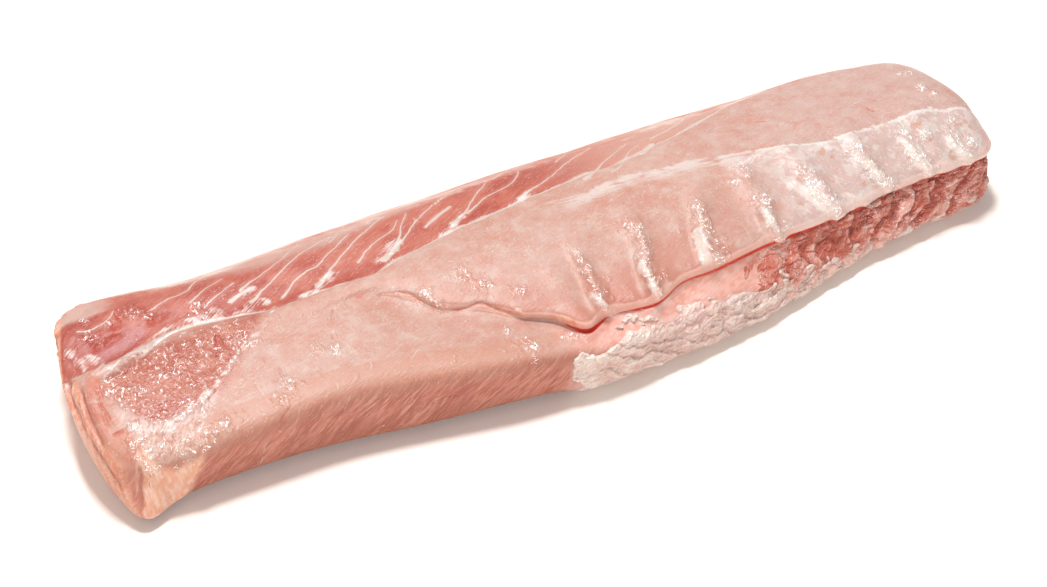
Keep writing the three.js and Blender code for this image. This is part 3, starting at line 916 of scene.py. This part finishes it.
def spineMuscle(s):  # redder, with slanting fibres and a pale rim
    seamSide = s.said("seamSide")
    outer = (s.step(seamSide + s.wide * 7 + s.ragged * 1.5, 27, 40)
             * s.step(s.x + s.wide * 40 + s.ragged * 5, -200, -140))
    fringe = s.step(seamSide + s.wide * 2.5 + s.ragged, 33, 37) * s.step(s.x + s.wide * 8, -205, -222)
    blood = s.rough(9, 3, 21, stretch=(2, 1, 1), turn=(0, 0, -30))
    bloody = s.step(blood, 0.52, 0.68) * s.step(s.x, -140, -185)
    return s.coats(
        s.blend(s.step(s.middle * 0.6 + s.large * 0.4, 0.4, 0.6), "spine", "spineDeep"),
        (s.step(s.slanting, 0.5, 0.76) * 0.42, "spinePale"),
        (s.step(s.slanting, 0.45, 0.3) * 0.4, "spineDeep"),
        (s.step(s.x + s.wide * 20, 0, 110) * 0.85, "spinePale"),
        ((outer * 0.7).most(fringe * 0.9), "rim"),
        (bloody * 0.35, "blood"),
    )


def backCover(s):  # silver skin and thin fat over the meat
    along = s.rough(1.5, 4, 33, stretch=(10, 1, 1))
    return s.coats(
        s.blend(s.step(along * 0.6 + s.middle * 0.4, 0.4, 0.6), "coverDeep", "cover"),
        (s.step(s.rough(14, 4, 34, stretch=(3, 1, 1)), 0.5, 0.62) * 0.7, "coverPale"),
        (s.step(s.rough(11, 4, 35, stretch=(4, 1, 1)), 0.56, 0.68) * 0.6, "spine"),
    )


def strandShares(s):  # the white strands, and the paler meat beside them
    strand, halo = 0.0, 0.0
    for part in "012":
        side, width = s.said("strandSide" + part), s.said("strandWidth" + part)
        across = abs(side + s.relief) / (width * 0.62 + 0.01)
        strand = (s.step(across, 1.25, 0.35) * s.step(width, 0.05, 0.4)).most(strand)
        halo = (s.step(abs(side), 3.4, 0.4) * s.step(width, 0.1, 0.6)).most(halo)
    return strand, halo


def cutPatch(s, colour):  # the cut muscle at the left end, and the sinews round it
    inHam = s.step(s.said("ham") + s.ragged * 1.3 + s.wide * 4, -3, 6)
    inSinew = s.step(s.said("sinew") + s.ragged * 1.5 + s.wide * 2, -3, 5)
    inBrow = s.step(s.said("brow") + s.ragged * 0.8 + s.wide, -1.5, 3) * s.step(s.small, 0.3, 0.5)
    fibre = s.rough(1.0, 3, 8, stretch=(6, 1, 2), turn=(0, 0, -22))
    deep = s.rough(7, 3, 25, stretch=(2, 1, 1), turn=(0, 0, -25))
    patch = s.coats(
        s.blend(s.step(s.middle * 0.5 + fibre * 0.5, 0.4, 0.6), "ham", "hamDeep"),
        (s.step(fibre, 0.52, 0.68) * 0.45, "spinePale"),
        (s.step(s.small, 0.54, 0.66) * 0.3, "eye"),
        (s.step(deep, 0.55, 0.68) * 0.6, "spineDeep"),
    )
    streaks = s.rough(1.5, 3, 9, stretch=(1, 4, 2), turn=(0, 0, 35))
    return inHam, s.coats(
        colour,
        (inHam * 0.92, patch),
        (inSinew * 0.8, s.blend(s.step(streaks, 0.4, 0.6), "eye", "gristle")),
        (s.step(s.said("purple") + s.ragged, -2, 2) * 0.5, "purple"),
        (inBrow * 0.85, "brow"),
    )


def flapMembrane(s, colour):  # pearly by the eye, lilac towards the right end, with cream rib ends
    small, fine = s.small - 0.5, s.fine - 0.5
    nearRib = s.step(abs(s.said("ribSide") + small * 5), 7, 1)
    low = s.step(s.said("ribWay") + small * 0.35, 0.85, 0.2)
    panel = s.step(s.filmEdge, -0.5, 1.2) * s.step(s.x + s.wide * 24, 105, 150)
    panel = panel * s.step(s.flapSide, -0.4, 0.4)
    patchy = s.step(s.middle * 0.5 + s.small * 0.5, 0.36, 0.56)
    web = s.rough(1.2, 3, 23, stretch=(7, 1, 1), turn=(0, 0, 55))
    rim = s.step(abs(s.filmEdge - 1), 1.6, 0.3) * s.step(s.x + s.wide * 24, 100, 140)
    rested = s.step(s.said("membraneSide") + s.ragged * 2.5, 14, 5)
    pearl = s.step(s.filmEdge, 0, 2) * rested * s.step(s.x, 0, 40) * s.step(s.x + s.wide * 30, 190, 130)
    streak = s.rough(1.4, 3, 14, stretch=(5, 1, 2), turn=(0, 0, 8))
    bone = s.step(s.said("cream") + small * 5 + fine * 2, -0.6, 1.8)
    wet = (bone, pearl * 0.6, panel * 0.6)
    return wet, s.coats(
        colour,
        (panel * (patchy * 0.45 + 0.4), "lilac"),
        (panel * s.step(s.rough(9, 3, 22), 0.5, 0.6) * 0.8, "membrane"),
        (panel * s.step(web, 0.56, 0.68) * 0.6, "gristle"),
        (rim * s.step(s.small, 0.35, 0.5) * 0.8, "gristle"),
        (nearRib * low * s.step(s.x, -10, 60) * s.step(s.small, 0.38, 0.6) * 0.5, "cream"),
        (pearl * s.step(s.middle * 0.5 + streak * 0.5, 0.4, 0.56) * 0.85, "membrane"),
        (s.step(s.rough(8, 2, 15), 0.62, 0.68) * panel * 0.6, "orange"),
        (bone * 0.8, s.blend(s.step(s.fine, 0.4, 0.65), "cream", "gristle")),
    )


def slicedWall(s, colour):  # the front: warm shoulder, sliced wall, and the folded nose at the left
    onWall = s.step(s.wallDrop + s.ragged * 0.4 + s.wide * 1.2, -1.6, 2.2)
    onWall = onWall * s.step(s.x + s.wide * 20, 60, -30)
    broad = s.rough(4, 3, 17, stretch=(6, 3, 1), turn=(0, 42, 0))
    slices = s.rough(2.2, 3, 36, stretch=(12, 4, 1), turn=(0, 40, 0))
    wall = s.coats(
        s.blend(s.step(s.sliced * 0.4 + broad * 0.6, 0.4, 0.6), "wallDeep", "wall"),
        (s.step(s.sliced, 0.52, 0.7) * 0.5, "wallPale"),
        (s.step(slices, 0.6, 0.68) * 0.6, "wallPale"),
        (s.step(s.wallDrop + s.wide * 4, 14, 30) * 0.55, "wallFoot"),
    )
    edge = s.step(s.wallDrop + s.ragged * 0.8 + s.wide * 3, -17, -2)
    edge = edge * s.step(s.wallDrop + s.wide * 4, 12, 0) * s.step(s.x, 20, -60)
    layered = s.rough(1.6, 3, 26, stretch=(1, 2, 4), turn=(25, 0, 30))
    return s.coats(
        colour,
        (onWall, wall),
        (edge * 0.65, "wallEdge"),
        (s.step(s.said("nose") + s.ragged * 0.6, -2, 2.5) * 0.85,
         s.blend(s.step(layered, 0.4, 0.66), "nose", "nosePale")),
    )


def underLip(s, colour):  # the lean and its pale film below the flap, and the flap's side-facing edge, painted paler as painted light
    below = s.step(s.flapSide, -1.2, -3) * s.step(s.x + s.wide * 12, -30, 20) * s.step(s.z, 42, 38)
    film = s.step(s.rough(9, 3, 32, stretch=(2, 1, 1)), 0.48, 0.62) * s.step(s.x, 120, 60)
    lean = s.coats(
        s.blend(s.step(s.fibre * 0.5 + s.small * 0.5, 0.42, 0.6), "under", "underPale"),
        (s.step(s.x + s.wide * 20, 110, 170), s.blend(s.step(s.small, 0.4, 0.6), "tornDeep", "torn")),
        (film * 0.6, "film"),
    )
    inFat = s.step(s.said("fatSide") + s.ragged * 2, 0, 4) * s.step(s.x + s.ragged * 2, -24, -8)
    return s.coats(
        colour,
        (below * 0.9, lean),
        (inFat * 0.7, "fatPink"),
        # the lip's side-facing edge painted paler, as painted light
        (s.step(s.said("litLipFace") + (s.small - 0.5) * 1.2, 0.1, 1.0) * 0.75,
         s.blend(s.step(s.x + s.wide * 20, 100, 140), "litLipFace", "litLipPale")),
    )


def cutEnds(s, colour):
    crease = s.rough(3.5, 3, 18, stretch=(1, 1, 4), turn=(18, 0, 0))
    return s.coats(
        colour,
        (s.said("leftEnd") * s.step(s.said("nose"), 1, -2) * 0.85,
         s.blend(s.step(crease * 0.6 + s.fine * 0.4, 0.4, 0.62), "endFace", "endPale")),
        (s.said("rightEnd") * s.step(s.small, 0.3, 0.7) * 0.6, "torn"),
    )


def fineLines(s, colour, cord, strand):  # gristle along the seam, strands, threads and cracks
    tough = s.step(s.said("gristle") + (s.small - 0.5) * 5 + (s.fine - 0.5) * 2, -1.2, 1.4)
    broken = s.step(s.small, 0.35, 0.6)
    return s.coats(
        colour,
        (cord * 0.92, "strand"),
        (strand * 0.92, "strand"),
        (tough * s.step(s.slanting * 0.6 + s.small * 0.4, 0.4, 0.62) * 0.85, "gristle"),
        (s.line("thread", 1.4, (0.42, 0.12), 0.6) * broken * 0.6, "strand"),
        # reddish paint along the creases, as painted shade
        (s.line("crack", 2.4, (1.0, 0.1), 0.8) * broken * 0.5, "crack"),
        # dark red painted in the gaps between muscles, as painted shade
        (s.line("slit", 3, (1.9, 0.3), 0.7) * 0.85, "slit"),
        # folds painted darker, as painted shade in their creases
        (s.line("fold", 2, (2.0, 0.2), 0.8) * 0.6, "wallDeep"),
        # the crease under the lip painted dark red, as painted shade
        (s.step(s.said("cleft") + (s.small - 0.5) * 0.3, 0.5, 0.85), "cleft"),
        # a dark brown band painted along the bottom, as painted shade at the floor
        (s.step(s.z + s.ragged * 0.4, 5.5, 1.5) * 0.9, "foot"),
    )


def wetGlints(s, colour, wet):  # painted sheen over wet places, with thin curls of painted highlight in it
    curl = s.step(abs(s.rough(2.0, 1, 19, stretch=(1, 2, 1), turn=(0, 0, 20)) - 0.5), 0.04, 0.01)
    paintedGlint = curl * s.step(s.rough(2.2, 2, 28), 0.47, 0.55) * s.step(wet, 0.25, 0.75)
    strayGlint = s.step(s.rough(0.8, 1, 24), 0.70, 0.76) * s.step(s.middle, 0.4, 0.6) * 0.6
    return paintedGlint, s.coats(
        colour,
        # a pale sheen painted over wet places, as painted reflection
        (s.step(wet, 0.3, 0.9) * s.step(s.rough(2.8, 2, 30), 0.42, 0.62) * 0.3, "membrane"),
        # white painted highlights: thin curls, and stray glints on the eye muscle
        (paintedGlint.most(strayGlint) * 0.9, "glint"),
    )


def fleshColour(s, wet):
    onSpine = s.step(s.seamEdge, -0.3, 0.6)
    behind = s.step(s.said("backSide") + (s.small - 0.5) * 0.8, 0.35, 0.8)
    strand, halo = strandShares(s)
    cordWidth = s.step(s.middle, 0.35, 0.75) * 1.3 + s.step(s.x, -120, -200) * 0.7 + 0.45
    cord = (s.step(abs(s.seamEdge) / cordWidth, 1.3, 0.4) * s.step(s.x, 165, 140)
            * s.step(s.said("leftEnd"), 0.5, 0.0))
    colour = s.coats(eyeMuscle(s), (onSpine, spineMuscle(s)), (behind, backCover(s)),
                     (halo * onSpine * 0.25, "spinePale"))
    inHam, colour = cutPatch(s, colour)
    smoothParts, colour = flapMembrane(s, colour)
    colour = cutEnds(s, underLip(s, slicedWall(s, colour)))
    paintedGlint, colour = wetGlints(s, fineLines(s, colour, cord, strand), wet)
    moist = cord.most(strand).most(inHam)
    for part in smoothParts:
        moist = moist.most(part)
    return colour, moist, paintedGlint


def makeSkin():
    s = Flesh("raw_lean")
    cut = s.step(s.said("ham"), -1, 3).most(s.step(s.said("sinew"), -1, 3)) * 0.62
    patchy = (s.rough(3.4, 3, 27, stretch=(1, 1.6, 1)) - 0.62) * 2.6
    wet = (s.said("glint").most(s.said("rib")).most(cut) * 1.2 + patchy).most(0.0).least(1.0)
    colour, moist, paintedGlint = fleshColour(s, wet)
    glintGlow = s.blend(paintedGlint, (0.0, 0.0, 0.0, 1.0), (0.4, 0.39, 0.38, 1.0))  # the painted glints also glow, so that they outshine white meat
    creases = (s.step(abs(s.said("foldSide")), 1.8, 0.1) * s.said("foldNear")).most(
        s.step(abs(s.said("crackSide")), 1.1, 0.1) * s.said("crackNear") * 0.6)
    pits, coarse = s.rough(0.9, 2, 12), s.rough(2.4, 2, 13)
    height = ((pits * 0.5 + coarse * 0.7) * (wet + 0.15) + s.fibre * 0.3
              + s.sliced * s.step(s.wallDrop, -1.6, 2.2) * 0.9 - creases * 0.5)
    moist = wet.most(moist * s.step(s.rough(6, 3, 20), 0.3, 0.6) * 0.7)
    return s.finish(Base_Color=colour, Roughness=0.44 - moist * 0.3, Normal=s.bump(height), IOR=1.45,
                    Emission_Color=glintGlow, Emission_Strength=1.0, Subsurface_Weight=0.3,
                    Subsurface_Radius=(1.0, 0.32, 0.2), Subsurface_Scale=0.0025)


def makeFatFinish():
    s = Shader("trimmed_fat")
    small, fine = s.rough(4, 3, 2), s.rough(1.1, 3, 3)
    raised = s.said("raised") + (fine - 0.5) * 0.5
    film = s.step(s.rough(22, 2, 4) + (small - 0.5) * 0.4, 0.55, 0.66)
    stringy = s.rough(0.9, 3, 6, stretch=(5, 3, 1), turn=(0, 24, 0))
    wrinkles = abs(s.rough(2.2, 3, 7, stretch=(2.6, 2, 1), turn=(0, 20, 0)) - 0.5) * 4
    # the fat is coloured by its relief: paler on raised folds and darker in the hollows, as painted light and
    # shade
    colour = s.coats(
        s.blend(s.step(raised, -0.2, 1.1), "fatPink", "fat"),
        (s.step(raised + (small - 0.5) * 1.6, 0.9, 2.4) * 0.8, "fatPale"),
        (film * 0.35, "lilac"),
        (s.step(raised + (small - 0.5) * 0.6, 0.25, -0.7) * 0.85, "fatDeep"),
        (s.step(stringy, 0.5, 0.64) * 0.5, "fatPale"),
        (s.step(stringy, 0.46, 0.34) * 0.45, "fatPink"),
    )
    height = fine * 0.4 + stringy * 0.7 + wrinkles.least(1.0) * 1.2
    return s.finish(Base_Color=colour, Roughness=0.36 - s.step(small, 0.4, 0.7) * 0.14, Normal=s.bump(height),
                    IOR=1.45, Subsurface_Weight=0.2, Subsurface_Radius=(1.0, 0.7, 0.5),
                    Subsurface_Scale=0.002)


def makeTornFinish():
    s = Shader("torn_meat")
    middle, small, fine = s.rough(14, 3, 1), s.rough(4, 3, 2), s.rough(1.1, 3, 3)
    raised = s.said("raised") + (fine - 0.5) * 0.6
    fibre = s.rough(1.0, 3, 6, stretch=(5, 3, 1), turn=(0, 40, 0))
    toLean = s.step(s.said("flapSide") + (small - 0.5) * 3, -13, -6) * s.step(s.axis(0), 150, 90)
    foot = s.step(s.axis(0), 225, 150) * s.step(s.axis(2) + (small - 0.5) * 14 + (fine - 0.5) * 4, 17, 9)
    # white painted highlights scattered over the torn lean
    paintedGlint = s.step(s.rough(0.8, 1, 19), 0.60, 0.68) * s.step(middle * 0.5 + small * 0.5, 0.45, 0.6)
    # darker in the crevices of the tears and paler on raised facets, as painted shade and light
    colour = s.coats(
        s.blend(s.step(raised + (small - 0.5) * 1.2, -0.9, 0.9), "tornDeep", "torn"),
        (s.step(raised + (middle - 0.5) * 3, 0.5, 2.0) * 0.8, "tornPale"),
        (s.step(fibre, 0.54, 0.7) * 0.5, "tornPale"),
        (toLean * 0.8, "under"),
        (foot * 0.85, "fat"),
        (paintedGlint * 0.8, "glint"),
    )
    height = fine * 0.7 + small * 0.8 + fibre * 0.5
    return s.finish(Base_Color=colour, Roughness=0.4 - s.step(small, 0.4, 0.65) * 0.22, Normal=s.bump(height),
                    IOR=1.45, Subsurface_Weight=0.2, Subsurface_Radius=(1.0, 0.32, 0.2),
                    Subsurface_Scale=0.002)


for piece, finish in ((loin, makeSkin()), (fatTrim, makeFatFinish()), (tornLean, makeTornFinish())):
    piece.data.materials.clear()
    piece.data.materials.append(finish)
print("materials done")


# Floor and light.
studio = {
    "floorSize": 12, "floorColour": (0.95, 0.87, 0.8, 1), "floorGlow": 0.06,
    "worldLight": 0.35,
    "lamps": {  # power, place and size
        "key": (40.0, (-0.05, 0.3, 2.1), 0.35),
        "glint": (9.0, (-0.1, 1.1, 1.7), 0.13),
        "fill": (14.0, (-0.9, -1.8, 0.82), 0.3),
    },
}
bpy.ops.object.select_all(action="DESELECT")
bpy.ops.mesh.primitive_plane_add(size=studio["floorSize"], location=(0, 0, -0.0002))
floor = bpy.context.active_object
floor.name = "floor"
floor.data.materials.append(Shader("pale_floor").finish(
    Base_Color=studio["floorColour"], Roughness=0.7,
    Emission_Color=(1, 1, 1, 1), Emission_Strength=studio["floorGlow"]))

world = bpy.data.worlds.new("studio")
world.use_nodes = True
background = world.node_tree.nodes["Background"]
background.inputs["Color"].default_value = (1, 1, 1, 1)
background.inputs["Strength"].default_value = studio["worldLight"]
bpy.context.scene.world = world

for name, (power, place, size) in studio["lamps"].items():
    bpy.ops.object.light_add(type="AREA", location=place)
    lamp = bpy.context.active_object
    lamp.name = name
    lamp.data.energy, lamp.data.size = power, size
    lamp.rotation_euler = (-Vector(place)).to_track_quat("-Z", "Y").to_euler()
bpy.context.scene.view_settings.view_transform = "Standard"
print("stage done")
